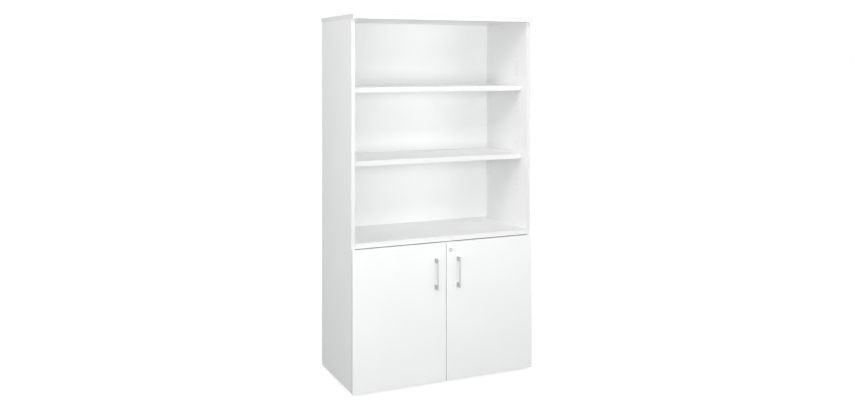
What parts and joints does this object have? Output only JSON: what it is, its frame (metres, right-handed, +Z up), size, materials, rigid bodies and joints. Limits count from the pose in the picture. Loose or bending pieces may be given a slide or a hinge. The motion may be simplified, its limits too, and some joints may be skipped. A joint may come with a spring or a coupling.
{
  "type": "bookcase with cabinet doors",
  "caption": "Tall white bookcase with open shelving over a cupboard closed by a pair of hinged doors with slim bar handles and a cam lock.",
  "frame": {"origin": "centre of the bounding box's footprint, on the floor", "axes": "+Z up, the doors and the open front face -Y, +X to the right as seen from the front"},
  "size_m": [0.97, 0.5156, 1.8],
  "materials": {
    "panel_melamine": "satin white melamine",
    "door_melamine": "satin white melamine",
    "back_board": "satin white melamine",
    "dowel_wood": "raw beech",
    "support_steel": "nickel plated",
    "handle_metal": "satin",
    "screw_steel": "zinc plated",
    "hinge_steel": "nickel plated",
    "pin_steel": "bright",
    "lock_nickel": "satin nickel",
    "lock_zinc": "zinc plated",
    "leg_plastic": "moulded",
    "soft_pad": "soft clear"
  },
  "bodies": {
    "carcass": {"left_side_panel": "panel_melamine", "right_side_panel": "panel_melamine", "top_panel": "panel_melamine", "divider_panel": "panel_melamine", "base_panel": "panel_melamine", "plinth_rail": "panel_melamine", "upper_shelf": "panel_melamine", "middle_shelf": "panel_melamine", "cupboard_shelf": "panel_melamine", "back_panel": "back_board", "dowels": "dowel_wood", "upper_shelf_supports": "support_steel", "middle_shelf_supports": "support_steel", "cupboard_shelf_supports": "support_steel", "left_lower_hinge_arm": "hinge_steel", "left_upper_hinge_arm": "hinge_steel", "right_lower_hinge_arm": "hinge_steel", "right_upper_hinge_arm": "hinge_steel", "left_lower_hinge_plate": "hinge_steel", "left_upper_hinge_plate": "hinge_steel", "right_lower_hinge_plate": "hinge_steel", "right_upper_hinge_plate": "hinge_steel", "lock_keeper": "lock_zinc", "leg_sockets": "leg_plastic", "leg_feet": "leg_plastic"},
    "left_door": {"left_door": "door_melamine", "left_handle": "handle_metal", "left_handle_screws": "screw_steel", "left_door_bumpers": "soft_pad", "left_hinge_cups": "hinge_steel", "left_lower_hinge_pin": "pin_steel", "left_upper_hinge_pin": "pin_steel"},
    "right_door": {"right_door": "door_melamine", "right_handle": "handle_metal", "right_handle_screws": "screw_steel", "right_door_bumpers": "soft_pad", "right_hinge_cups": "hinge_steel", "right_lower_hinge_pin": "pin_steel", "right_upper_hinge_pin": "pin_steel", "lock_sleeve": "lock_nickel", "lock_nut": "lock_zinc"},
    "lock": {"lock_barrel": "lock_nickel", "lock_cam": "lock_zinc"}
  },
  "joints": [
    {"name": "left_door_swing", "type": "hinge", "parent": "carcass", "child": "left_door", "pos_m": [-0.4775, -0.21575, 0.3515], "axis": [0, 0, -1], "range_deg": [0, 95]},
    {"name": "right_door_swing", "type": "hinge", "parent": "carcass", "child": "right_door", "pos_m": [0.4775, -0.21575, 0.3515], "axis": [0, 0, 1], "range_deg": [0, 95]},
    {"name": "lock_turn", "type": "hinge", "parent": "right_door", "child": "lock", "pos_m": [0.0235, -0.197, 0.652], "axis": [0, -1, 0], "range_deg": [0, 90]}
  ]
}
